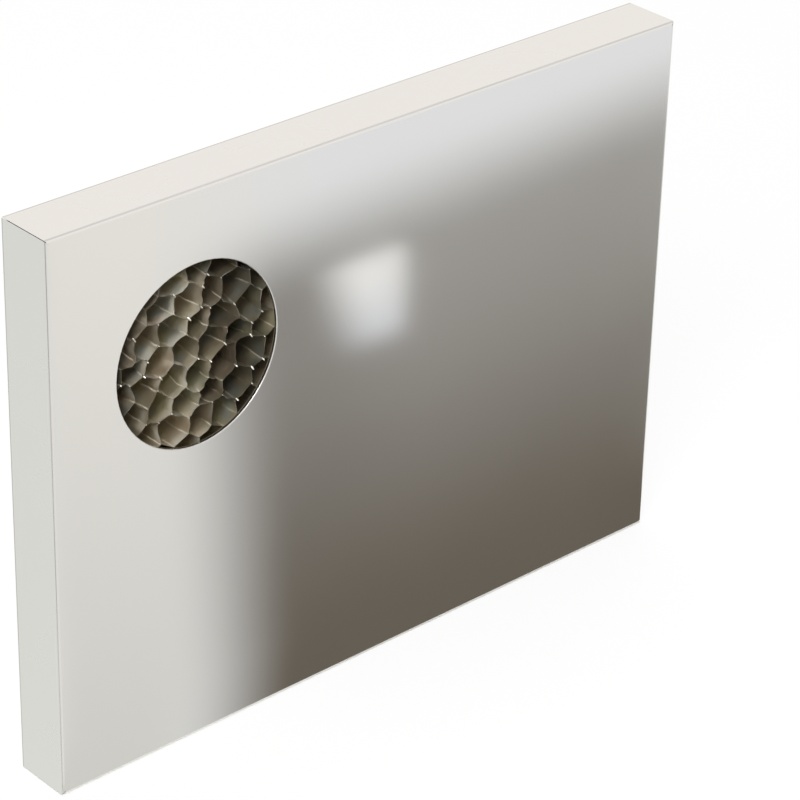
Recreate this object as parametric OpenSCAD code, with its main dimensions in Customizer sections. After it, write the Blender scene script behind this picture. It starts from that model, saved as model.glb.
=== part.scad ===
// Aluminium honeycomb panel: a folded face tray closed by a back sheet, with a
// core of corrugated foil ribbons bonded between them by two adhesive films.
// A round window in the face lays the open cells bare.
//
// Frame: X runs along the width, Y through the thickness with the face towards
// -Y, and Z up. The origin is under the middle of the panel, on its bottom edge.

/* [Panel] */
// Width of the panel
panel_width = 250; // [150:1:300]
// Height of the panel
panel_height = 187; // [170:1:300]
// Thickness of the panel over the face and the back
panel_thickness = 20; // [10:0.5:40]

/* [Face tray] */
// Thickness of the sheet that the tray is folded from
face_sheet = 1; // [0.5:0.1:2]
// Inside radius of the folds
fold_radius = 0.2; // [0.1:0.05:0.5]
// Width of the open seam where two flanges meet at a corner
corner_seam = 0.2; // [0.1:0.05:0.8]
// How far each corner seam runs past the inside corner, to free the folds
corner_relief = 0.3; // [0.1:0.05:1]

/* [Window] */
// Diameter of the round window in the face
window_diameter = 60; // [20:1:90]
// Centre of the window from the panel's left edge
window_from_left = 54; // [50:0.5:100]
// Centre of the window above the panel's bottom edge
window_above_bottom = 133; // [60:0.5:140]

/* [Core] */
// Cell size, clear between two bonded flats
cell_size = 9.5; // [6:0.25:20]
// Thickness of the foil
foil = 0.06; // [0.03:0.01:0.2]
// Thickness of the glue line between the flats of two ribbons
node_bond = 0.01; // [0.01:0.005:0.05]
// Gap all round between the core and the flanges
core_gap = 0.6; // [0.5:0.1:3]

/* [Bonding] */
// Thickness of each adhesive film
film = 0.2; // [0.1:0.05:0.5]

/* [Back sheet] */
// Thickness of the back sheet
back_thickness = 0.8; // [0.5:0.1:2]
// Gap all round between the back sheet and the flanges
back_gap = 0.3; // [0.1:0.05:1]

/* [Hidden] */
// Planes of the stack, from the face to the back
face_y = -panel_thickness / 2;
face_inside_y = face_y + face_sheet;
core_front_y = face_inside_y + film;
back_y = panel_thickness / 2;
back_inside_y = back_y - back_thickness;
core_back_y = back_inside_y - film;
core_depth = core_back_y - core_front_y;

// Room inside the tray, and what of it the core fills
inside_width = panel_width - 2 * face_sheet;
inside_height = panel_height - 2 * face_sheet;
core_width = inside_width - 2 * core_gap;
core_height = inside_height - 2 * core_gap;
mid_z = panel_height / 2;

// A cell is a regular hexagon. A ribbon swings half a cell from side to side,
// and its flats and slopes are as long as the hexagon's sides.
cell_side = cell_size / sqrt(3);
swing = cell_size / 2;
flat_spacing = 1.5 * cell_side;
// A fold of 60 degrees makes the foil's outer flats longer by this much each
// end, and its inner flats shorter
fold_growth = foil / 2 * tan(30);
ribbon_pitch = swing + foil + node_bond;
ribbon_count = floor(core_width / ribbon_pitch);
// Flats on each side of the ribbon's middle, enough to pass both its ends
flat_count = ceil(core_height / 2 / flat_spacing) + 1;

window_x = window_from_left - panel_width / 2;
// How far a cutting shape runs past what it cuts
overcut = 1;
$fn = 96;

function ribbon_name(i) = str("core_ribbon_", i < 10 ? "0" : "", i);

// Section of a folded channel's outside or inside: both front corners rounded
module rounded_front(width, depth, radius) {
    translate([-width / 2, radius])
        square([width, depth - radius]);
    translate([radius - width / 2, 0])
        square([width - 2 * radius, depth]);
    for (side = [-1, 1])
        translate([side * (width / 2 - radius), radius])
            circle(radius);
}

// Block whose four front edges are rounded, standing centred on mid_z with its
// front in the plane y = 0
module rounded_block(width, height, depth, radius) {
    translate([0, 0, mid_z])
        intersection() {
            linear_extrude(height, center = true)
                rounded_front(width, depth, radius);
            rotate([0, -90, 0])
                linear_extrude(width, center = true)
                    rounded_front(height, depth, radius);
        }
}

// Cutter for the window, from one plane through the next
module window_cut(from_y, depth) {
    translate([window_x, from_y - overcut, window_above_bottom])
        rotate([-90, 0, 0])
            cylinder(d = window_diameter, h = depth + 2 * overcut);
}

// Slit along one corner of the tray, where the ends of two flanges stand apart
module corner_slit(side, end) {
    reach = face_sheet * sqrt(2) + corner_relief;
    translate([side * panel_width / 2, 0, mid_z + end * panel_height / 2])
        rotate([0, -45 * side * end, 0])
            cube([2 * reach, panel_thickness + 2 * overcut, corner_seam], center = true);
}

// Flat sheet in the tray, set in by a gap all round
module inlay(from_y, thickness, gap) {
    width = inside_width - 2 * gap;
    height = inside_height - 2 * gap;
    translate([-width / 2, from_y, mid_z - height / 2])
        cube([width, thickness, height]);
}

// Face and four flanges, folded from one sheet
module face_tray() {
    color([0.86, 0.85, 0.83])
        difference() {
            translate([0, face_y, 0])
                rounded_block(panel_width, panel_height, panel_thickness, fold_radius + face_sheet);
            translate([0, face_inside_y, 0])
                rounded_block(inside_width, inside_height, panel_thickness, fold_radius);
            window_cut(face_y, face_sheet);
            for (side = [-1, 1], end = [-1, 1])
                corner_slit(side, end);
        }
}

// Film that bonds the core to the face, cut out with the window
module front_adhesive() {
    color([0.5, 0.46, 0.34])
        difference() {
            inlay(face_inside_y, film, core_gap);
            window_cut(face_inside_y, film);
        }
}

// Corners of one side of a corrugated strip, side 1 to the right and -1 to the
// left. The flats swing to and fro; a flat's outer side is the longer one.
function strip_side(side) = [
    for (i = [-flat_count:flat_count], end = [-1, 1])
        let (swing_to = i % 2 == 0 ? 1 : -1)
        [
            swing_to * swing / 2 + side * foil / 2,
            i * flat_spacing + end * (cell_side / 2 + side * swing_to * fold_growth)
        ]
];

function reversed(list) = [for (i = [len(list) - 1:-1:0]) list[i]];

// One corrugated foil ribbon, trimmed to the core's height. Each ribbon is the
// mirror image of its neighbours, so their flats meet and the cells open between.
module core_ribbon(i) {
    color([0.55, 0.53, 0.48])
        translate([(i - (ribbon_count + 1) / 2) * ribbon_pitch, core_back_y, mid_z])
            rotate([90, 0, 0])
                linear_extrude(core_depth)
                    intersection() {
                        mirror([i % 2, 0])
                            polygon(concat(strip_side(1), reversed(strip_side(-1))));
                        square([2 * cell_size, core_height], center = true);
                    }
}

// Film that bonds the core to the back sheet
module back_adhesive() {
    color([0.5, 0.46, 0.34])
        inlay(core_back_y, film, core_gap);
}

// Sheet that closes the tray, flush with the ends of its flanges
module back_sheet() {
    color([0.78, 0.78, 0.77])
        inlay(back_inside_y, back_thickness, back_gap);
}

face_tray();
front_adhesive();
for (i = [1:ribbon_count])
    core_ribbon(i);
back_adhesive();
back_sheet();
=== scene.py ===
"""Looks of an aluminium honeycomb panel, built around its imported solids.

The adhesive films, the back sheet and the sealed part of the core keep their
solids. The folded tray gets a rolled window edge, and the foil ribbons behind
the window are made again with the lean, crinkles, glue and burrs of a cut core.
"""

import math

import bmesh
import bpy
from mathutils import Matrix, Vector


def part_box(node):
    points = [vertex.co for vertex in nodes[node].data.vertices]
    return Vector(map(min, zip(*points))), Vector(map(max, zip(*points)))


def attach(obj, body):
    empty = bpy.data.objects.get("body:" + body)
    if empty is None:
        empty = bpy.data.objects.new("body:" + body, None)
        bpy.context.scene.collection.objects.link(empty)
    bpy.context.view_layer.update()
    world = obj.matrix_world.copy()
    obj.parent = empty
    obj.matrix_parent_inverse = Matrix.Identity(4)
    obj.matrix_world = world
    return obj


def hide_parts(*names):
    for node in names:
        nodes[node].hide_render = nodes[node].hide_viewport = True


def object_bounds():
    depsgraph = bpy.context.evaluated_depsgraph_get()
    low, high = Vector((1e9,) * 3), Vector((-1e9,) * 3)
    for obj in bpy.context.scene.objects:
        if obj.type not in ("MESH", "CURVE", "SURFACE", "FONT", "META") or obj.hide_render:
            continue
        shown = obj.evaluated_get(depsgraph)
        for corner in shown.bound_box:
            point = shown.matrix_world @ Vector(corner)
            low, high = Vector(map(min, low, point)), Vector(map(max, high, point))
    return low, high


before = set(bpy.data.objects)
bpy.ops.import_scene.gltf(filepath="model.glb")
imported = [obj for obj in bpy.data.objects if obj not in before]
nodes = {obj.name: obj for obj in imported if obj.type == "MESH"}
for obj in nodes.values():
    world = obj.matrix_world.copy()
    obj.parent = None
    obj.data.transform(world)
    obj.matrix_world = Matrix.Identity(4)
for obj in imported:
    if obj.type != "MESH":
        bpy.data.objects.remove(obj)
cad_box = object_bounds()

# Window in the face, in metres
WINDOW_X = -0.071
WINDOW_Z = 0.133
WINDOW_RADIUS = 0.030
RIM_ROLL = 0.0004
# How near a corner lies to the front plane and to the rim's circle if it is on the rim
RIM_PLANE_GAP = 0.00001
RIM_CIRCLE_GAP = 0.0002

# Honeycomb, in metres
CELL_SIZE = 0.0095
FOIL = 0.00006
# Length of a flat with its slope, in cell sizes
FLAT_SPACING = 1.5 / math.sqrt(3.0)
ROWS_TO_A_FLAT = 9
LAYERS = 14
CORE_SEED = 3
# Where a fold lies from the middle of its flat, counted in flats with their slopes
FOLD_AT = 1.0 / 3.0
FOLD_GAP = 0.02
# Corners closer than this are one
MERGE_GAP = 0.000001

# Angles at which faces meet in a sharp edge, and within which they are one plane
FOIL_CREASE = math.radians(28)
TRAY_CREASE = math.radians(35)
ONE_PLANE = math.radians(0.5)

# Bare foil: how far it leans, crinkles and rolls at its front edge, over what depth, and spots to a metre
LEAN = 0.0095
LEAN_DEPTH = 0.012
LEAN_SPOTS = 75.0
CRINKLE = 0.0016
CRINKLE_SPOTS = 200.0
ROLLED_EDGE = 0.002
ROLLED_DEPTH = 0.0014
ROLLED_SPOTS = 420.0
# Depth before the back film over which crinkles fade
HELD_DEPTH = 0.004
# Distances inside the rim where foil moves freely and where it is held
FREE_FROM_RIM = 0.005
HELD_FROM_RIM = 0.0005

# Glue and burrs on the bare foil's front edges, in metres
FRONT_EDGE = 0.0002
BEAD_RADIUS = 0.00035
BEAD_FROM_RIM = 0.0008
BEAD_SIDES = 6
BEAD_SPOTS = 230.0
BEAD_THINNEST = 0.03
BURR_RADIUS = 0.0006
BURR_FROM_RIM = 0.0015
# Burrs grow where a random number is over this
BURR_CHANCE = 0.66
BURR_SMALLEST = 0.4
BURR_BEND = (-0.6, -0.55, 0.58)
BURR_STRAY = 0.25
BURR_SHAPE = (0.5, 1.4, 0.3)

# Photograph's view
VIEW_AZIMUTH = math.radians(-42.68)
VIEW_ELEVATION = math.radians(29.06)
VIEW_ROLL = math.radians(1.48)
VIEW_DISTANCE = 1.00554
VIEW_AIM = Vector((-0.0119, -0.0334, 0.1070))
VIEW_LENS = 149.55
SENSOR_WIDTH = 36.0

# Tones of the tray and the back sheet
SATIN_DULL = (0.82, 0.82, 0.815)
SATIN_LIGHT = (0.84, 0.84, 0.84)
SATIN_CUT = (0.6, 0.59, 0.575)
MILL_DULL = (0.72, 0.72, 0.71)
MILL_LIGHT = (0.78, 0.78, 0.765)
MILL_LINE = (0.6, 0.6, 0.59)
# Spots of the tray's grain and of the back sheet's rolling lines to a metre, along each axis
SATIN_GRAIN = (20.0, 1500.0, 1500.0)
MILL_GRAIN = (6.0, 1100.0, 1100.0)

# Tones of the foil, of what stains it and of its burrs
FOIL_YELLOW = (0.66, 0.62, 0.41)
FOIL_BROWN = (0.66, 0.54, 0.39)
FOIL_GREY = (0.61, 0.61, 0.51)
FOIL_CUT = (0.16, 0.15, 0.13)
FOIL_METAL = 0.72
# Faces turned to the front by more than this are the foil's cut edges
CUT_FACING = -0.9
# Pale glue near the cut edges, which also serves as painted light in the cells' mouths
SMEAR_AND_LIGHT_TONE = (0.48, 0.455, 0.395)
FOLD_GLUE_TONE = (0.62, 0.57, 0.47)
BURR_DULL = (0.78, 0.75, 0.68)
BURR_LIGHT = (0.92, 0.91, 0.88)
BURR_GLUED = (0.42, 0.39, 0.33)

# Tones of the adhesive films and of the glue squeezed out of them
FILM_DARK = (0.10, 0.085, 0.055)
FILM_LIGHT = (0.34, 0.29, 0.2)
BEAD_DARK = (0.06, 0.055, 0.045)
BEAD_LIGHT = (0.28, 0.26, 0.22)

# Tones of the studio, most of them as bright metal shows them
WHITE = (1.0, 1.0, 1.0)
SOFT_LIGHT = (0.55, 0.55, 0.54)
BACKDROP_TONE = (1.0, 0.955, 0.905)
ROOM_TONE = (0.74, 0.72, 0.69)
FLOOR_TONE = (0.81, 0.818, 0.769)
FOOT_TONE = (1.15, 1.12, 1.02)
FRONT_TONE = (0.87, 0.85, 0.81)
SHADE_TONE = (0.3, 0.28, 0.26)
FLOOR_PAINT = (0.9, 0.9, 0.9)
FLOOR_GLOW = 0.85
FLOOR_REACH = 3.0

# Card that the face mirrors: its distance, and how far it passes the face at its left, right and top
CARD_DISTANCE = 0.025
CARD_PAST_LEFT = 0.004
CARD_PAST_RIGHT = 0.02
CARD_PAST_TOP = 0.02
CARD_LIGHT_FOOT = (0.73, 0.722, 0.68)
CARD_LIGHT_TOP = (0.915, 0.887, 0.83)
CARD_LIGHT_RIGHT = (0.875, 0.88, 0.88)
CARD_DARK_FOOT = (0.15, 0.128, 0.1)
CARD_DARK_LEFT = (0.3, 0.285, 0.262)
CARD_DARK_RIGHT = (0.385, 0.37, 0.345)
PATCH_FOOT = (0.79, 0.805, 0.83)
PATCH_TOP = (1.0, 0.99, 0.96)

panel_low, panel_high = cad_box
panel_middle = (panel_low + panel_high) / 2
ribbon_names = sorted(name for name in nodes if name.startswith("core_ribbon_"))


def ribbon_x(name):
    """Middle of a ribbon across the panel."""
    low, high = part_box(name)
    return (low.x + high.x) / 2


def shows_in_window(name):
    low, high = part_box(name)
    return high.x > WINDOW_X - WINDOW_RADIUS and low.x < WINDOW_X + WINDOW_RADIUS


open_ribbons = [name for name in ribbon_names if shows_in_window(name)]
ribbon_pitch = ribbon_x(ribbon_names[1]) - ribbon_x(ribbon_names[0])
core_low, core_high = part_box(open_ribbons[0])
core_middle = (core_low + core_high) / 2
core_height = core_high.z - core_low.z
core_depth = core_high.y - core_low.y


# Helpers for node trees


def add(tree, kind, **settings):
    made = tree.nodes.new(kind)
    for name, value in settings.items():
        setattr(made, name, value)
    return made


def feed(tree, socket, value):
    """Links a socket to another, or sets its own value."""
    if isinstance(value, bpy.types.NodeSocket):
        tree.links.new(value, socket)
    elif value is not None:
        socket.default_value = value


def feed_all(tree, made, values):
    for name, value in values.items():
        feed(tree, made.inputs[name], value)
    return made


def calc(tree, operation, *values):
    made = add(tree, "ShaderNodeMath", operation=operation)
    for socket, value in zip(made.inputs, values):
        feed(tree, socket, value)
    return made.outputs[0]


def product(tree, *values):
    """Several values multiplied."""
    result = values[0]
    for value in values[1:]:
        result = calc(tree, "MULTIPLY", result, value)
    return result


def vector_calc(tree, operation, *values, output=0):
    made = add(tree, "ShaderNodeVectorMath", operation=operation)
    for socket, value in zip(made.inputs, values):
        feed(tree, socket, value)
    return made.outputs[output]


def scaled(tree, vector, factor):
    made = add(tree, "ShaderNodeVectorMath", operation="SCALE")
    feed_all(tree, made, {"Vector": vector, "Scale": factor})
    return made.outputs[0]


def ramp(tree, value, start, end, low=0.0, high=1.0):
    """Smooth step from low at start to high at end."""
    made = add(tree, "ShaderNodeMapRange", interpolation_type="SMOOTHSTEP")
    for socket, given in zip(made.inputs, (value, start, end, low, high)):
        feed(tree, socket, given)
    return made.outputs[0]


def between(tree, value, rise, fall, soft):
    """One between rise and fall, with soft ends."""
    return product(tree, ramp(tree, value, rise - soft, rise + soft),
                   ramp(tree, value, fall - soft, fall + soft, low=1.0, high=0.0))


def trimmed(tree, value, low, high):
    """Value kept between two limits."""
    return calc(tree, "MINIMUM", calc(tree, "MAXIMUM", value, low), high)


def join_xyz(tree, x, y, z):
    made = add(tree, "ShaderNodeCombineXYZ")
    feed_all(tree, made, {"X": x, "Y": y, "Z": z})
    return made.outputs[0]


def split_xyz(tree, vector):
    made = add(tree, "ShaderNodeSeparateXYZ")
    feed(tree, made.inputs[0], vector)
    return made.outputs


def noise(tree, vector, scale, detail=2.0, output="Fac"):
    """Noise with about as many spots to a metre as scale says."""
    made = add(tree, "ShaderNodeTexNoise")
    feed_all(tree, made, {"Vector": vector, "Scale": scale, "Detail": detail})
    return made.outputs[output]


def signed_noise(tree, vector, scale):
    """Noise vector around zero."""
    colour = noise(tree, vector, scale, detail=1.0, output="Color")
    return vector_calc(tree, "SUBTRACT", colour, (0.5, 0.5, 0.5))


def window_distance(tree, place):
    """Distance of a place from the window's axis."""
    x, _, z = split_xyz(tree, place)
    flat = join_xyz(tree, calc(tree, "SUBTRACT", x, WINDOW_X), 0.0, calc(tree, "SUBTRACT", z, WINDOW_Z))
    return vector_calc(tree, "LENGTH", flat, output=1)


def rim_distance(tree, place, shift):
    """Distance from an axis to the lower right of the window's, or to its upper left for a minus shift."""
    return window_distance(tree, vector_calc(tree, "SUBTRACT", place, (shift, 0.0, -shift)))


# Finishes


def new_finish(name, metallic, roughness):
    """Material with one shader; returns it, its tree, the shader and object coordinates."""
    material = bpy.data.materials.new(name)
    material.use_nodes = True
    tree = material.node_tree
    shader = tree.nodes["Principled BSDF"]
    shader.inputs["Metallic"].default_value = metallic
    shader.inputs["Roughness"].default_value = roughness
    place = add(tree, "ShaderNodeTexCoord").outputs["Object"]
    return material, tree, shader, place


def stretched(tree, place, scale):
    made = add(tree, "ShaderNodeMapping")
    feed_all(tree, made, {"Vector": place, "Scale": scale})
    return made.outputs[0]


def blend_colours(tree, factor, first, second, blend_type="MIX"):
    made = add(tree, "ShaderNodeMix", data_type="RGBA", blend_type=blend_type)
    feed(tree, made.inputs["Factor"], factor)
    feed(tree, made.inputs["A"], (*first, 1.0) if isinstance(first, tuple) else first)
    feed(tree, made.inputs["B"], (*second, 1.0) if isinstance(second, tuple) else second)
    return made.outputs["Result"]


def bumped(tree, height, strength, distance):
    made = add(tree, "ShaderNodeBump")
    feed_all(tree, made, {"Height": height, "Strength": strength, "Distance": distance})
    return made.outputs[0]


def named(tree, name):
    """Value that the geometry carries under a name."""
    return add(tree, "ShaderNodeAttribute", attribute_name=name).outputs["Fac"]


def satin_sheet():
    """Satin aluminium of the folded tray: cloudy sheen, and duller along its cut edges and folds."""
    material, tree, shader, place = new_finish("satin_sheet", metallic=1.0, roughness=0.25)
    x, y, z = split_xyz(tree, place)
    cloud = noise(tree, place, scale=18.0, detail=3.0)
    grain = noise(tree, stretched(tree, place, SATIN_GRAIN), scale=1.0)
    cut = ramp(tree, y, panel_high.y - 0.0006, panel_high.y - 0.0003)
    tone = blend_colours(tree, cloud, SATIN_DULL, SATIN_LIGHT)
    from_side = calc(tree, "SUBTRACT", panel_high.x, calc(tree, "ABSOLUTE", x))
    from_middle = calc(tree, "ABSOLUTE", calc(tree, "SUBTRACT", z, panel_middle.z))
    from_end = calc(tree, "SUBTRACT", panel_middle.z, from_middle)
    worn = ramp(tree, calc(tree, "MINIMUM", from_side, from_end), 0.0, 0.003, low=0.08, high=0.0)
    sheen = calc(tree, "MULTIPLY_ADD", grain, 0.012, ramp(tree, cloud, 0.3, 0.7, low=0.2, high=0.25))
    feed_all(tree, shader, {
        "Base Color": blend_colours(tree, cut, tone, SATIN_CUT),
        "Roughness": calc(tree, "MULTIPLY_ADD", worn, cloud, sheen),
        "Normal": bumped(tree, noise(tree, place, scale=9.0, detail=1.0), strength=0.04, distance=0.002),
    })
    return material


def foil_tint(tree, place):
    """Stains of the foil, from yellow to brown with greyer spots."""
    stain = ramp(tree, noise(tree, place, scale=70.0), 0.35, 0.65)
    grey = ramp(tree, noise(tree, place, scale=110.0, detail=1.0), 0.5, 0.7)
    return blend_colours(tree, grey, blend_colours(tree, stain, FOIL_YELLOW, FOIL_BROWN), FOIL_GREY)


def foil_brightness_and_rim_shade(tree, place):
    """Brightness of the foil across the window: lower at both sides and at the lower right, with a painted
    shadow of the rim along its upper left.
    """
    x, _, z = split_xyz(tree, place)
    left = ramp(tree, x, WINDOW_X - 0.030, WINDOW_X - 0.012, low=0.68, high=1.07)
    right = ramp(tree, x, WINDOW_X - 0.008, WINDOW_X + 0.016, low=1.0, high=0.5)
    # Painted shadow of the rim: foil darker along the window's upper left
    rim = ramp(tree, rim_distance(tree, place, 0.002), 0.0272, 0.0294, low=1.0, high=0.65)
    low_right = product(tree, ramp(tree, x, WINDOW_X + 0.009, WINDOW_X + 0.021),
                        ramp(tree, z, WINDOW_Z + 0.004, WINDOW_Z - 0.012))
    return product(tree, left, right, rim, calc(tree, "MULTIPLY_ADD", low_right, -0.3, 1.0))


def facet_shine(tree):
    """Brightness that changes from one flat or slope of a ribbon to the next."""
    facet = add(tree, "ShaderNodeTexWhiteNoise", noise_dimensions="2D")
    feed(tree, facet.inputs["Vector"], join_xyz(tree, named(tree, "facet"), named(tree, "ribbon"), 0.0))
    return calc(tree, "MULTIPLY_ADD", facet.outputs["Value"], 0.3, 0.68)


def smears_and_painted_light(tree, place, brightness_and_rim_shade):
    """Pale glue spread over the foil behind its cut edges, fading with depth; it is also painted light where
    light falls into the cells' mouths.
    """
    depth = calc(tree, "SUBTRACT", split_xyz(tree, place)[1], core_low.y)
    return product(tree, ramp(tree, depth, 0.0005, 0.0055, low=0.8, high=0.0),
                   ramp(tree, noise(tree, place, scale=150.0), 0.38, 0.62), ramp(tree, brightness_and_rim_shade, 0.55, 1.1))


def fold_glue(tree, place, brightness_and_rim_shade):
    """Glue that sits in patches along the foil's folds."""
    return product(tree, ramp(tree, named(tree, "fold"), 0.72, 0.95),
                   ramp(tree, noise(tree, place, scale=160.0, detail=1.0), 0.42, 0.6),
                   ramp(tree, brightness_and_rim_shade, 0.3, 0.9, low=0.4, high=1.0))


def bright_foil():
    """Thin foil of the core: stained from cell to cell, with pale glue on folds and behind cut edges; painted
    light near the cut edges and under the lower-right rim, and a painted shadow of the rim at the upper left.
    """
    material, tree, shader, place = new_finish("bright_foil", metallic=FOIL_METAL, roughness=0.4)
    brightness_and_rim_shade = foil_brightness_and_rim_shade(tree, place)
    # Painted light: foil under the rim at the lower right made lighter, lifting the shade there
    painted_light_under_rim = ramp(tree, rim_distance(tree, place, -0.002), 0.0282, 0.034, low=0.0, high=0.7)
    bright = product(tree, calc(tree, "ADD", brightness_and_rim_shade, painted_light_under_rim), facet_shine(tree))
    grey = join_xyz(tree, bright, bright, bright)
    tone = blend_colours(tree, 1.0, foil_tint(tree, place), grey, "MULTIPLY")
    smeared_and_lit = smears_and_painted_light(tree, place, brightness_and_rim_shade)
    glued = fold_glue(tree, place, brightness_and_rim_shade)
    tone = blend_colours(tree, glued, blend_colours(tree, smeared_and_lit, tone, SMEAR_AND_LIGHT_TONE), FOLD_GLUE_TONE)
    facing = split_xyz(tree, add(tree, "ShaderNodeNewGeometry").outputs["True Normal"])[1]
    cut_edge = calc(tree, "LESS_THAN", facing, CUT_FACING)
    glue_cover = calc(tree, "MAXIMUM", glued, smeared_and_lit)
    uneven = noise(tree, place, scale=240.0, detail=3.0)
    feed_all(tree, shader, {
        "Base Color": blend_colours(tree, cut_edge, tone, FOIL_CUT),
        "Metallic": calc(tree, "MULTIPLY_ADD", glue_cover, -FOIL_METAL, FOIL_METAL),
        "Roughness": ramp(tree, uneven, 0.25, 0.75, low=0.28, high=0.48),
        "Normal": bumped(tree, noise(tree, place, scale=500.0), strength=0.35, distance=0.0003),
    })
    return material


def bright_burr():
    """Torn bits of foil: scuffed metal, some of it bright and some dulled by glue."""
    material, tree, shader, place = new_finish("bright_burr", metallic=1.0, roughness=0.3)
    scuff = noise(tree, place, scale=900.0)
    glued = ramp(tree, noise(tree, place, scale=140.0, detail=1.0), 0.4, 0.56)
    bright = blend_colours(tree, scuff, BURR_DULL, BURR_LIGHT)
    sheen = ramp(tree, scuff, 0.3, 0.7, low=0.2, high=0.38)
    feed_all(tree, shader, {
        "Base Color": blend_colours(tree, glued, bright, BURR_GLUED),
        "Roughness": calc(tree, "MULTIPLY_ADD", glued, 0.15, sheen),
        "Normal": bumped(tree, scuff, strength=0.3, distance=0.0002),
    })
    return material


def cured_glue():
    """Cured adhesive film: glossy amber brown with darker clouds."""
    material, tree, shader, place = new_finish("cured_glue", metallic=0.0, roughness=0.3)
    cloud = noise(tree, place, scale=420.0, detail=3.0)
    feed_all(tree, shader, {
        "Base Color": blend_colours(tree, cloud, FILM_DARK, FILM_LIGHT),
        "Roughness": ramp(tree, cloud, 0.3, 0.7, low=0.16, high=0.42),
        "Normal": bumped(tree, noise(tree, place, scale=1300.0), strength=0.3, distance=0.0002),
    })
    return material


def milky_glue():
    """Glue squeezed out along the foil edges: milky grey, with a wet gloss."""
    material, tree, shader, place = new_finish("milky_glue", metallic=0.0, roughness=0.25)
    cloud = noise(tree, place, scale=350.0)
    feed_all(tree, shader, {
        "Base Color": blend_colours(tree, cloud, BEAD_DARK, BEAD_LIGHT),
        "Roughness": ramp(tree, cloud, 0.3, 0.7, low=0.12, high=0.35),
        "Normal": bumped(tree, noise(tree, place, scale=1500.0), strength=0.25, distance=0.0002),
    })
    return material


def mill_sheet():
    """Plain mill finish of the back sheet, with rolling lines along its width."""
    material, tree, shader, place = new_finish("mill_sheet", metallic=1.0, roughness=0.4)
    lines = noise(tree, stretched(tree, place, MILL_GRAIN), scale=1.0, detail=4.0)
    cloud = ramp(tree, noise(tree, place, scale=15.0, detail=3.0), 0.3, 0.7)
    marked = ramp(tree, lines, 0.35, 0.7, low=0.0, high=0.35)
    plain = blend_colours(tree, cloud, MILL_DULL, MILL_LIGHT)
    feed_all(tree, shader, {
        "Base Color": blend_colours(tree, marked, plain, MILL_LINE),
        "Roughness": ramp(tree, lines, 0.3, 0.7, low=0.34, high=0.46),
        "Normal": bumped(tree, lines, strength=0.08, distance=0.0003),
    })
    return material


# Core that shows in the window


SHEET_NUMBERS = ("Cell size", "Core height", "Core depth", "Pitch", "First x", "First turn",
                 "Lean", "Crinkle", "Rolled edge")
SHEET_COUNTS = ("Ribbons", "Flats", "Layers", "Seed")


def new_group(name, numbers, counts):
    """Geometry tree with named number and count inputs; returns it, its inputs and its output."""
    tree = bpy.data.node_groups.new(name, "GeometryNodeTree")
    tree.interface.new_socket("Geometry", in_out="OUTPUT", socket_type="NodeSocketGeometry")
    for label in numbers:
        tree.interface.new_socket(label, in_out="INPUT", socket_type="NodeSocketFloat")
    for label in counts:
        tree.interface.new_socket(label, in_out="INPUT", socket_type="NodeSocketInt")
    given = add(tree, "NodeGroupInput").outputs
    result = add(tree, "NodeGroupOutput").inputs["Geometry"]
    return tree, given, result


def position(tree):
    return add(tree, "GeometryNodeInputPosition").outputs[0]


def index(tree):
    return add(tree, "GeometryNodeInputIndex").outputs[0]


def stored(tree, geometry, name, domain, value):
    """Writes a value on the geometry under a name that finishes can read."""
    made = add(tree, "GeometryNodeStoreNamedAttribute", data_type="FLOAT", domain=domain)
    feed_all(tree, made, {"Geometry": geometry, "Name": name, "Value": value})
    return made.outputs[0]


def moved(tree, geometry, **move):
    """Geometry with its corners moved, by Offset or to Position."""
    made = add(tree, "GeometryNodeSetPosition")
    feed_all(tree, made, {"Geometry": geometry, **move})
    return made.outputs[0]


def merged(tree, geometry):
    made = add(tree, "GeometryNodeMergeByDistance")
    feed_all(tree, made, {"Geometry": geometry, "Distance": MERGE_GAP})
    return made.outputs[0]


def realised(tree, geometry):
    made = add(tree, "GeometryNodeRealizeInstances")
    feed(tree, made.inputs["Geometry"], geometry)
    return made.outputs[0]


def seeded(tree, place, given):
    """Place for noise, shifted by the seed."""
    return vector_calc(tree, "ADD", place, join_xyz(tree, given["Seed"], 0.0, 0.0))


def corrugation(tree, flats, cell_size):
    """Swing of a ribbon at a place counted in flats: flats to left and right, joined by slopes."""
    # From 3 to -3 over one spacing and cut off at 1 and -1, so that a third of it is slope
    slope = calc(tree, "MULTIPLY_ADD", calc(tree, "PINGPONG", flats, 1.0), -6.0, 3.0)
    return product(tree, trimmed(tree, slope, -1.0, 1.0), calc(tree, "MULTIPLY", cell_size, 0.25))


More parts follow.
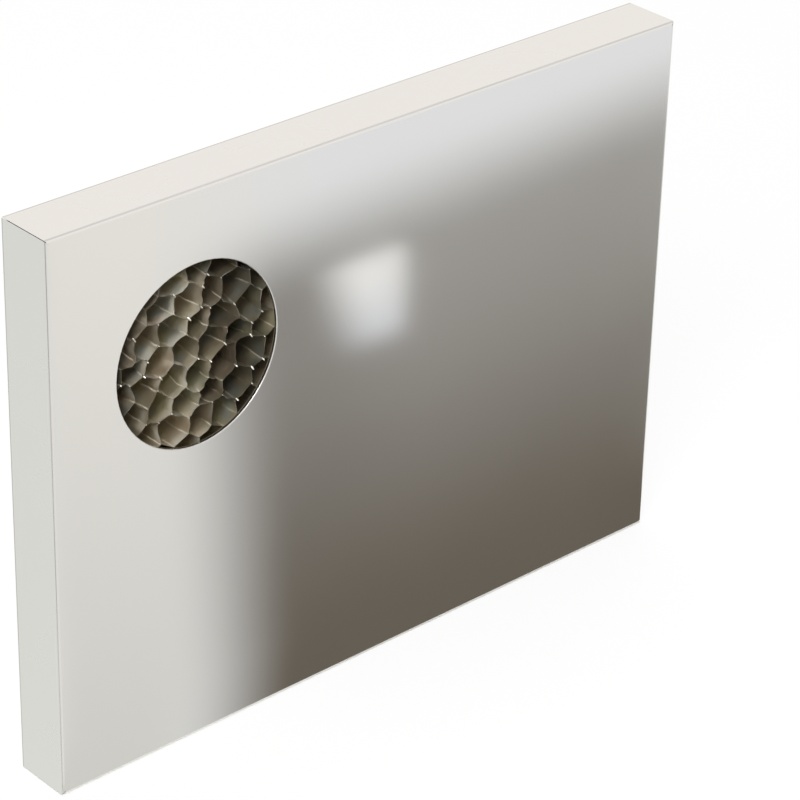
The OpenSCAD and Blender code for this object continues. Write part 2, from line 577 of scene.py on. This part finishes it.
def corrugated_ribbon(tree, given):
    """One ribbon with no thickness, trimmed to the core's height; it carries its folds and facets."""
    spacing = calc(tree, "MULTIPLY", given["Cell size"], FLAT_SPACING)
    rows = calc(tree, "MULTIPLY", given["Flats"], float(ROWS_TO_A_FLAT))
    grid = add(tree, "GeometryNodeMeshGrid")
    feed_all(tree, grid, {"Size X": calc(tree, "MULTIPLY", given["Flats"], spacing),
                          "Size Y": given["Core depth"],
                          "Vertices X": calc(tree, "ADD", rows, 1.0), "Vertices Y": given["Layers"]})
    along, across, _ = split_xyz(tree, position(tree))
    end = calc(tree, "MULTIPLY", given["Core height"], 0.5)
    along = trimmed(tree, along, calc(tree, "MULTIPLY", end, -1.0), end)
    flats = calc(tree, "DIVIDE", along, spacing)
    at_fold = calc(tree, "COMPARE", calc(tree, "PINGPONG", flats, 0.5), FOLD_AT, FOLD_GAP)
    # A flat fills two thirds of a spacing and a slope one; each of them gets its own number
    thirds = calc(tree, "MULTIPLY_ADD", flats, 3.0, 1.0)
    is_slope = calc(tree, "GREATER_THAN", calc(tree, "FLOORED_MODULO", thirds, 3.0), 2.0)
    facet = calc(tree, "MULTIPLY_ADD", calc(tree, "FLOOR", calc(tree, "DIVIDE", thirds, 3.0)), 2.0, is_slope)
    marked = stored(tree, grid.outputs["Mesh"], "fold", "POINT", at_fold)
    marked = stored(tree, marked, "facet", "FACE", facet)
    swing = corrugation(tree, flats, given["Cell size"])
    return merged(tree, moved(tree, marked, Position=join_xyz(tree, swing, across, along)))


def ribbons_in_row(tree, given, ribbon):
    """Copies of a ribbon side by side, each the mirror image of the next, with their numbers."""
    row = add(tree, "GeometryNodeMeshLine")
    feed_all(tree, row, {"Count": given["Ribbons"],
                         "Start Location": join_xyz(tree, given["First x"], core_middle.y, core_middle.z),
                         "Offset": join_xyz(tree, given["Pitch"], 0.0, 0.0)})
    odd = calc(tree, "MODULO", index(tree), 2.0)
    turn = product(tree, calc(tree, "MULTIPLY_ADD", odd, -2.0, 1.0), given["First turn"])
    laid = add(tree, "GeometryNodeInstanceOnPoints")
    feed_all(tree, laid, {"Points": row.outputs["Mesh"], "Instance": ribbon,
                          "Scale": join_xyz(tree, turn, 1.0, 1.0)})
    return realised(tree, stored(tree, laid.outputs["Instances"], "ribbon", "INSTANCE", index(tree)))


def bonded_place(tree, given):
    """Place that decides how foil moves, the same for both flats of a bond, so that they move as one."""
    x, y, z = split_xyz(tree, position(tree))
    half_pitch = calc(tree, "MULTIPLY", given["Pitch"], 0.5)
    start = calc(tree, "MULTIPLY_ADD", given["Pitch"], 0.5, given["First x"])
    from_start = calc(tree, "SUBTRACT", x, start)
    turns = calc(tree, "ROUND", calc(tree, "DIVIDE", from_start, given["Pitch"]))
    bond = calc(tree, "MULTIPLY", turns, given["Pitch"])
    side = calc(tree, "SUBTRACT", from_start, bond)
    half_gap = calc(tree, "MULTIPLY_ADD", given["Cell size"], -0.25, half_pitch)
    apart = calc(tree, "MAXIMUM", calc(tree, "SUBTRACT", calc(tree, "ABSOLUTE", side), half_gap), 0.0)
    from_bond = calc(tree, "MULTIPLY_ADD", calc(tree, "SIGN", side), apart, bond)
    return join_xyz(tree, calc(tree, "ADD", start, from_bond), y, z)


def foil_shift(tree, given):
    """How far bare foil leans, crinkles and rolls at its front edge, along the panel's face."""
    place = bonded_place(tree, given)
    depth = calc(tree, "SUBTRACT", split_xyz(tree, place)[1], core_low.y)
    free = ramp(tree, window_distance(tree, place), WINDOW_RADIUS - FREE_FROM_RIM,
                WINDOW_RADIUS - HELD_FROM_RIM, low=1.0, high=0.0)
    above_back = ramp(tree, depth, core_depth - HELD_DEPTH, core_depth, low=1.0, high=0.0)
    spot = seeded(tree, place, given)
    flat_spot = vector_calc(tree, "MULTIPLY", spot, (1.0, 0.0, 1.0))
    lean = scaled(tree, signed_noise(tree, flat_spot, LEAN_SPOTS), given["Lean"])
    lean = scaled(tree, lean, product(tree, free, ramp(tree, depth, 0.0, LEAN_DEPTH, low=1.0, high=0.0)))
    wide = scaled(tree, signed_noise(tree, spot, CRINKLE_SPOTS), given["Crinkle"])
    wide = scaled(tree, wide, product(tree, free, above_back))
    near_edge = ramp(tree, depth, 0.0, ROLLED_DEPTH, low=1.0, high=0.0)
    rolled = scaled(tree, signed_noise(tree, spot, ROLLED_SPOTS), given["Rolled edge"])
    rolled = scaled(tree, rolled, product(tree, near_edge, free))
    shift = vector_calc(tree, "ADD", lean, vector_calc(tree, "ADD", wide, rolled))
    return vector_calc(tree, "MULTIPLY", shift, (1.0, 0.0, 1.0))


def ribbon_sheets():
    """Foil ribbons side by side as sheets with no thickness, crinkled where the window bares them."""
    tree, given, result = new_group("ribbon_sheets", SHEET_NUMBERS, SHEET_COUNTS)
    row = ribbons_in_row(tree, given, corrugated_ribbon(tree, given))
    feed(tree, result, moved(tree, row, Offset=foil_shift(tree, given)))
    return tree


def use_sheets(tree, given, sheets):
    """Ribbon sheets inside another tree, with that tree's own inputs."""
    made = add(tree, "GeometryNodeGroup", node_tree=sheets)
    for label in SHEET_NUMBERS + SHEET_COUNTS:
        feed(tree, made.inputs[label], given[label])
    return made.outputs[0]


def finish_piece(tree, geometry, material, result):
    """Makes what was grown real and gives it its finish."""
    finished = add(tree, "GeometryNodeSetMaterial")
    feed_all(tree, finished, {"Geometry": realised(tree, geometry), "Material": material})
    feed(tree, result, finished.outputs[0])


def smoothed(tree, geometry):
    made = add(tree, "GeometryNodeSetShadeSmooth", domain="FACE")
    feed(tree, made.inputs["Geometry"], geometry)
    return made.outputs[0]


def creased(tree, geometry, angle):
    """Keeps edges sharp where faces meet at more than an angle."""
    made = add(tree, "GeometryNodeSetShadeSmooth", domain="EDGE")
    between_faces = add(tree, "GeometryNodeInputMeshEdgeAngle").outputs["Unsigned Angle"]
    feed_all(tree, made, {"Geometry": geometry, "Shade Smooth": False,
                          "Selection": calc(tree, "GREATER_THAN", between_faces, angle)})
    return made.outputs[0]


def foil_tree(sheets, material):
    """Gives the ribbon sheets the thickness and finish of foil."""
    tree, given, result = new_group("core_foil", SHEET_NUMBERS + ("Foil",), SHEET_COUNTS)
    half_under = calc(tree, "MULTIPLY", given["Foil"], -0.5)
    normal = add(tree, "GeometryNodeInputNormal").outputs[0]
    sheet = moved(tree, use_sheets(tree, given, sheets), Offset=scaled(tree, normal, half_under))
    thick = add(tree, "GeometryNodeExtrudeMesh", mode="FACES")
    feed_all(tree, thick, {"Mesh": sheet, "Offset Scale": given["Foil"], "Individual": False})
    under = add(tree, "GeometryNodeFlipFaces")
    feed(tree, under.inputs["Mesh"], sheet)
    both = add(tree, "GeometryNodeJoinGeometry")
    tree.links.new(thick.outputs["Mesh"], both.inputs[0])
    tree.links.new(under.outputs["Mesh"], both.inputs[0])
    x, y, z = split_xyz(tree, position(tree))
    level = join_xyz(tree, x, trimmed(tree, y, core_low.y, core_high.y), z)
    foil = moved(tree, merged(tree, both.outputs[0]), Position=level)
    finish_piece(tree, creased(tree, smoothed(tree, foil), FOIL_CREASE), material, result)
    return tree


def on_front_edge(tree):
    """True on the foil's front edges."""
    return calc(tree, "LESS_THAN", split_xyz(tree, position(tree))[1], core_low.y + FRONT_EDGE)


def glue_tree(sheets, material):
    """Uneven beads of glue along the foil edges that the window bares."""
    tree, given, result = new_group("edge_glue", SHEET_NUMBERS + ("Bead",), SHEET_COUNTS)
    place = position(tree)
    hidden = calc(tree, "GREATER_THAN", window_distance(tree, place), WINDOW_RADIUS - BEAD_FROM_RIM)
    bare = add(tree, "GeometryNodeDeleteGeometry", domain="POINT")
    feed_all(tree, bare, {"Geometry": use_sheets(tree, given, sheets), "Selection": hidden})
    edge = add(tree, "GeometryNodeMeshToCurve")
    feed_all(tree, edge, {"Mesh": bare.outputs[0], "Selection": on_front_edge(tree)})
    blobs = noise(tree, seeded(tree, place, given), BEAD_SPOTS)
    uneven = ramp(tree, blobs, 0.56, 0.78, low=BEAD_THINNEST, high=1.0)
    sized = add(tree, "GeometryNodeSetCurveRadius")
    feed_all(tree, sized, {"Curve": edge.outputs[0], "Radius": uneven})
    round_bead = add(tree, "GeometryNodeCurvePrimitiveCircle")
    feed_all(tree, round_bead, {"Resolution": BEAD_SIDES, "Radius": given["Bead"]})
    bead = add(tree, "GeometryNodeCurveToMesh")
    feed_all(tree, bead, {"Curve": sized.outputs[0], "Profile Curve": round_bead.outputs[0],
                          "Scale": add(tree, "GeometryNodeInputRadius").outputs[0], "Fill Caps": True})
    finish_piece(tree, smoothed(tree, bead.outputs[0]), material, result)
    return tree


def burr_tree(sheets, material):
    """Burrs that the cutter left on the foil's front edges, where two ribbons part, all bent one way."""
    tree, given, result = new_group("foil_burrs", SHEET_NUMBERS + ("Burr",), SHEET_COUNTS)
    bare = calc(tree, "LESS_THAN", window_distance(tree, position(tree)), WINDOW_RADIUS - BURR_FROM_RIM)
    fold = add(tree, "GeometryNodeInputNamedAttribute", data_type="FLOAT")
    fold.inputs["Name"].default_value = "fold"
    chance = add(tree, "FunctionNodeRandomValue", data_type="FLOAT")
    feed(tree, chance.inputs["Seed"], given["Seed"])
    drawn = calc(tree, "GREATER_THAN", chance.outputs[1], BURR_CHANCE)
    bend = add(tree, "FunctionNodeRandomValue", data_type="FLOAT_VECTOR")
    feed_all(tree, bend, {"Min": (-BURR_STRAY,) * 3, "Max": (BURR_STRAY,) * 3, "Seed": given["Seed"]})
    turned = add(tree, "FunctionNodeAlignRotationToVector", axis="Z")
    feed(tree, turned.inputs["Vector"], vector_calc(tree, "ADD", bend.outputs[0], BURR_BEND))
    flake = add(tree, "GeometryNodeMeshIcoSphere")
    feed_all(tree, flake, {"Radius": given["Burr"], "Subdivisions": 3})
    size = ramp(tree, chance.outputs[1], BURR_CHANCE, 1.0, low=BURR_SMALLEST, high=1.0)
    burrs = add(tree, "GeometryNodeInstanceOnPoints")
    feed_all(tree, burrs, {"Points": use_sheets(tree, given, sheets), "Instance": flake.outputs["Mesh"],
                           "Selection": product(tree, on_front_edge(tree), bare, fold.outputs[0], drawn),
                           "Rotation": turned.outputs[0],
                           "Scale": scaled(tree, join_xyz(tree, *BURR_SHAPE), size)})
    finish_piece(tree, smoothed(tree, realised(tree, burrs.outputs[0])), material, result)
    return tree


def grown(name, tree, values):
    """Runs a geometry tree with its named inputs and keeps the result as a plain mesh."""
    holder = bpy.data.objects.new(name + "_grower", bpy.data.meshes.new(name + "_seed"))
    bpy.context.scene.collection.objects.link(holder)
    modifier = holder.modifiers.new("grow", "NODES")
    modifier.node_group = tree
    for item in tree.interface.items_tree:
        if item.in_out == "INPUT" and item.name in values:
            modifier[item.identifier] = values[item.name]
    graph = bpy.context.evaluated_depsgraph_get()
    mesh = bpy.data.meshes.new_from_object(holder.evaluated_get(graph), depsgraph=graph)
    holder.modifiers.clear()
    bpy.data.objects.remove(holder)
    piece = bpy.data.objects.new(name, mesh)
    bpy.context.scene.collection.objects.link(piece)
    return piece


# Flats in a ribbon: an even number, enough to pass both ends of the core
flat_count = 2 * math.ceil(core_height / (CELL_SIZE * FLAT_SPACING) / 2)
first_turn = 1.0 if int(open_ribbons[0][-2:]) % 2 == 0 else -1.0
SHEET_VALUES = {
    "Cell size": CELL_SIZE, "Core height": core_height, "Core depth": core_depth,
    "Pitch": ribbon_pitch, "First x": ribbon_x(open_ribbons[0]), "First turn": first_turn,
    "Lean": LEAN, "Crinkle": CRINKLE, "Rolled edge": ROLLED_EDGE,
    "Ribbons": len(open_ribbons), "Flats": flat_count, "Layers": LAYERS, "Seed": CORE_SEED,
}

satin = satin_sheet()
foil = bright_foil()
glue = cured_glue()
milky = milky_glue()
burr = bright_burr()
mill = mill_sheet()

sheets = ribbon_sheets()
core_foil = grown("core_foil", foil_tree(sheets, foil), {**SHEET_VALUES, "Foil": FOIL})
edge_glue = grown("edge_glue", glue_tree(sheets, milky), {**SHEET_VALUES, "Bead": BEAD_RADIUS})
foil_burrs = grown("foil_burrs", burr_tree(sheets, burr), {**SHEET_VALUES, "Burr": BURR_RADIUS})
for piece, slot in ((core_foil, "core_foil"), (foil_burrs, "core_foil"), (edge_glue, "adhesive")):
    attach(piece, "root")
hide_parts(*open_ribbons)


# Tray and the solids that stay


def on_rim(vertex):
    """True for a corner on the window's front edge."""
    reach = math.hypot(vertex.co.x - WINDOW_X, vertex.co.z - WINDOW_Z)
    in_front = abs(vertex.co.y - panel_low.y) < RIM_PLANE_GAP
    return in_front and abs(reach - WINDOW_RADIUS) < RIM_CIRCLE_GAP


def rolled_tray(material):
    """Copy of the tray with the window's front edge rolled over, as a punch leaves it."""
    solid = nodes["face_tray"].data
    mesh = bpy.data.meshes.new("face_tray_rolled")
    mesh.from_pydata([corner.co for corner in solid.vertices], [],
                     [face.vertices[:] for face in solid.polygons])
    shape = bmesh.new()
    shape.from_mesh(mesh)
    bmesh.ops.remove_doubles(shape, verts=shape.verts, dist=2 * MERGE_GAP)
    bmesh.ops.dissolve_limit(shape, angle_limit=ONE_PLANE, verts=shape.verts, edges=shape.edges)
    rim = [edge for edge in shape.edges if on_rim(edge.verts[0]) and on_rim(edge.verts[1])]
    bmesh.ops.bevel(shape, geom=rim, offset=RIM_ROLL, segments=4, profile=0.5,
                    affect="EDGES", clamp_overlap=False)
    for face in shape.faces:
        face.smooth = True
    for edge in shape.edges:
        edge.smooth = edge.calc_face_angle(0.0) < TRAY_CREASE
    shape.to_mesh(mesh)
    shape.free()
    mesh.materials.append(material)
    tray = bpy.data.objects.new("face_tray_rolled", mesh)
    bpy.context.scene.collection.objects.link(tray)
    even = tray.modifiers.new("even_normals", "WEIGHTED_NORMAL")
    even.keep_sharp = True
    return tray


def paint(name, material):
    """Gives a carried-over solid its finish."""
    mesh = nodes[name].data
    mesh.materials.clear()
    mesh.materials.append(material)


tray = rolled_tray(satin)
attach(tray, "root")
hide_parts("face_tray")

paint("front_adhesive", glue)
paint("back_adhesive", glue)
paint("back_sheet", mill)
for name in ribbon_names:
    paint(name, foil)


# Studio


def stage_finish(name):
    """Material of the studio with no shader yet; returns it and its tree."""
    material = bpy.data.materials.new(name)
    material.use_nodes = True
    tree = material.node_tree
    tree.nodes.remove(tree.nodes["Principled BSDF"])
    return material, tree


def stage_sheet(name, corners, marks, faces, material):
    """Flat or bent sheet of the studio; each corner has its mark on the sheet."""
    mesh = bpy.data.meshes.new(name)
    mesh.from_pydata(corners, [], faces)
    layer = mesh.uv_layers.new(name="sheet")
    for loop in mesh.loops:
        layer.data[loop.index].uv = marks[loop.vertex_index]
    mesh.materials.append(material)
    sheet = bpy.data.objects.new(name, mesh)
    bpy.context.scene.collection.objects.link(sheet)
    return sheet


def floor_finish():
    """White floor that keeps soft shadows and looks white to the camera, but not under the panel."""
    material, tree = stage_finish("studio_floor")
    lit = add(tree, "ShaderNodeBsdfDiffuse")
    lit.inputs["Color"].default_value = (*FLOOR_PAINT, 1.0)
    white = add(tree, "ShaderNodeEmission")
    x, y, _ = split_xyz(tree, add(tree, "ShaderNodeTexCoord").outputs["Object"])
    beside = calc(tree, "GREATER_THAN", calc(tree, "ABSOLUTE", x), panel_high.x)
    before = calc(tree, "GREATER_THAN", calc(tree, "ABSOLUTE", y), panel_high.y)
    to_camera = add(tree, "ShaderNodeLightPath").outputs["Is Camera Ray"]
    seen = add(tree, "ShaderNodeMixShader")
    feed(tree, seen.inputs[0], product(tree, calc(tree, "MAXIMUM", beside, before), FLOOR_GLOW, to_camera))
    tree.links.new(lit.outputs[0], seen.inputs[1])
    tree.links.new(white.outputs[0], seen.inputs[2])
    tree.links.new(seen.outputs[0], tree.nodes["Material Output"].inputs["Surface"])
    return material


def card_finish():
    """Graduated card that glows, painting the reflection that the face shows: light at its left and top, dark
    at its right, with one pale patch that leans.
    """
    material, tree = stage_finish("glowing_reflection_card")
    across, up, _ = split_xyz(tree, add(tree, "ShaderNodeUVMap").outputs[0])
    light = blend_colours(tree, up, CARD_LIGHT_FOOT, CARD_LIGHT_TOP)
    light = blend_colours(tree, ramp(tree, across, 0.08, 0.42), light, CARD_LIGHT_RIGHT)
    dark = blend_colours(tree, ramp(tree, across, 0.33, 0.6), CARD_DARK_LEFT, CARD_DARK_RIGHT)
    dark = blend_colours(tree, ramp(tree, up, 0.0, 0.85), CARD_DARK_FOOT, dark)
    from_left = calc(tree, "MULTIPLY_ADD", up, 0.045, across)
    from_foot = calc(tree, "MULTIPLY_ADD", across, -0.04, up)
    shade = product(tree, ramp(tree, from_left, 0.165, 0.37),
                    ramp(tree, from_foot, 0.74, 0.95, low=1.0, high=0.0))
    patch_left = calc(tree, "MULTIPLY_ADD", up, 0.23, across)
    patch_wide = product(tree, ramp(tree, patch_left, 0.547, 0.646),
                         ramp(tree, across, 0.52, 0.56, low=1.0, high=0.0))
    patch_high = product(tree, ramp(tree, up, 0.59, 0.648),
                         ramp(tree, up, 0.773, 0.797, low=1.0, high=0.0))
    patch_tone = blend_colours(tree, ramp(tree, up, 0.63, 0.76), PATCH_FOOT, PATCH_TOP)
    tone = blend_colours(tree, shade, light, dark)
    glow = add(tree, "ShaderNodeEmission")
    feed(tree, glow.inputs["Color"],
         blend_colours(tree, product(tree, patch_wide, patch_high), tone, patch_tone))
    tree.links.new(glow.outputs[0], tree.nodes["Material Output"].inputs["Surface"])
    return material


def view_back():
    """Direction from the panel to the camera."""
    level = math.cos(VIEW_ELEVATION)
    return Vector((math.sin(VIEW_AZIMUTH) * level, -math.cos(VIEW_AZIMUTH) * level, math.sin(VIEW_ELEVATION)))


def mirrored_place(x, z):
    """Place on the card or on its foot that the camera sees mirrored at x along the face and z up it."""
    back = view_back()
    run = min(CARD_DISTANCE / -back.y, z / back.z)
    return (x - back.x * run, panel_low.y + back.y * run, z - back.z * run)


def build_floor():
    corners = [(FLOOR_REACH * x, FLOOR_REACH * y, 0) for x, y in ((-1, -1), (1, -1), (1, 1), (-1, 1))]
    marks = [(0, 0), (1, 0), (1, 1), (0, 1)]
    floor = stage_sheet("studio_floor", corners, marks, [(0, 1, 2, 3)], floor_finish())
    floor.visible_glossy = False


def build_card():
    """Card in front of the panel that only mirrors show, with its foot bent along the floor."""
    back = view_back()
    bend = CARD_DISTANCE * back.z / -back.y
    levels = (0.0, bend, panel_high.z + CARD_PAST_TOP)
    sides = (panel_low.x - CARD_PAST_LEFT, panel_high.x + CARD_PAST_RIGHT)
    width = panel_high.x - panel_low.x
    corners = [mirrored_place(x, z) for z in levels for x in sides]
    marks = [((x - panel_low.x) / width, z / panel_high.z) for z in levels for x in sides]
    card = stage_sheet("glowing_reflection_card", corners, marks, [(0, 1, 3, 2), (2, 3, 5, 4)], card_finish())
    card.visible_camera = False
    card.visible_diffuse = False
    card.visible_shadow = False
    card.visible_transmission = False


def build_world():
    """White surroundings with soft light all round; metal mirrors the studio's tones by their direction."""
    world = bpy.data.worlds.new("studio")
    bpy.context.scene.world = world
    world.use_nodes = True
    tree = world.node_tree
    sky = tree.nodes["Background"]
    path = add(tree, "ShaderNodeLightPath").outputs
    x, y, z = split_xyz(tree, add(tree, "ShaderNodeTexCoord").outputs["Generated"])
    room = between(tree, y, rise=-0.42, fall=0.3, soft=0.12)
    above = blend_colours(tree, room, BACKDROP_TONE, ROOM_TONE)
    below = blend_colours(tree, ramp(tree, z, -0.6, -0.75), FLOOR_TONE, FOOT_TONE)
    near_left = product(tree, ramp(tree, x, -0.45, -0.6), ramp(tree, y, -0.4, -0.55))
    below = blend_colours(tree, near_left, below, SHADE_TONE)
    near_front = product(tree, ramp(tree, x, -0.45, -0.3), ramp(tree, y, -0.65, -0.8))
    below = blend_colours(tree, near_front, below, FRONT_TONE)
    mirrored = blend_colours(tree, ramp(tree, z, -0.2, 0.1), below, above)
    soft = blend_colours(tree, path["Is Glossy Ray"], SOFT_LIGHT, mirrored)
    feed(tree, sky.inputs["Color"], blend_colours(tree, path["Is Camera Ray"], soft, WHITE))
    sky.inputs["Strength"].default_value = 1.0


def soft_box(name, place, size, power, mirrored):
    """Square lamp turned to the panel; mirrored says if metal shows it."""
    lamp = bpy.data.lights.new(name, "AREA")
    lamp.shape = "SQUARE"
    lamp.size = size
    lamp.energy = power
    holder = bpy.data.objects.new(name, lamp)
    holder.location = place
    holder.rotation_mode = "QUATERNION"
    holder.rotation_quaternion = (panel_middle - Vector(place)).to_track_quat("-Z", "Y")
    holder.visible_glossy = mirrored
    bpy.context.scene.collection.objects.link(holder)


def build_camera():
    """Camera at the photograph's angle."""
    back = view_back()
    level = Vector((math.cos(VIEW_AZIMUTH), math.sin(VIEW_AZIMUTH), 0.0))
    upright = back.cross(level)
    right = level * math.cos(VIEW_ROLL) + upright * math.sin(VIEW_ROLL)
    up = upright * math.cos(VIEW_ROLL) - level * math.sin(VIEW_ROLL)
    lens = bpy.data.cameras.new("view")
    lens.lens = VIEW_LENS
    lens.sensor_width = SENSOR_WIDTH
    camera = bpy.data.objects.new("view", lens)
    axes = Matrix((right, up, back)).transposed().to_4x4()
    camera.matrix_world = Matrix.Translation(VIEW_AIM + back * VIEW_DISTANCE) @ axes
    bpy.context.scene.collection.objects.link(camera)
    bpy.context.scene.camera = camera


build_floor()
build_card()
build_world()
soft_box("key_light", place=(-0.85, -0.6, 1.0), size=0.5, power=12.0, mirrored=True)
soft_box("top_light", place=(0.3, 0.4, 1.4), size=1.0, power=8.0, mirrored=False)
build_camera()
bpy.context.scene.view_settings.view_transform = "Standard"
